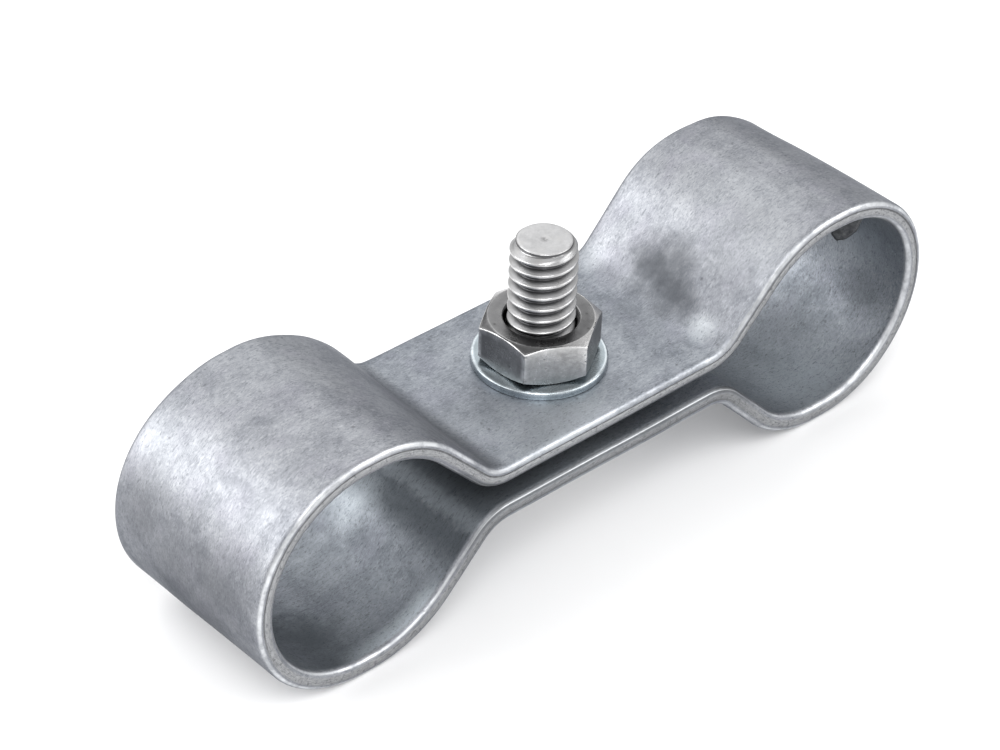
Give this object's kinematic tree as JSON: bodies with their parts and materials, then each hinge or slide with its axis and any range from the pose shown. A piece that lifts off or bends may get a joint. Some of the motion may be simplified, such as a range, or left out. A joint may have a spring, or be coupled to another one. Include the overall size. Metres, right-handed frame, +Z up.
{
  "type": "temporary fence clamp",
  "caption": "Dumbbell-shaped steel band clamp that joins neighbouring fence tubes side by side, tightened by a bolt, nut and washer through its flat middle.",
  "frame": {"origin": "on the bolt's axis, midway between the two loops and midway across the band, at the height of the surface on which the clamp lies", "axes": "+X from the left loop to the right loop, +Y along the axes of both loops, +Z up along the bolt from its head to its threaded end"},
  "size_m": [0.13, 0.032, 0.0448],
  "materials": {
    "galvanised_band": "satin hot-dip galvanised steel, mottled grey",
    "bolt_steel": "bright zinc-plated steel",
    "washer_steel": "bluish bright zinc-plated steel",
    "nut_steel": "plain steel, darker than the bolt, bright at the turned corners"
  },
  "bodies": {
    "root": {"clamp_band": "galvanised_band", "cup_head_bolt": "bolt_steel", "flat_washer": "washer_steel", "hex_nut": "nut_steel"}
  },
  "joints": []
}
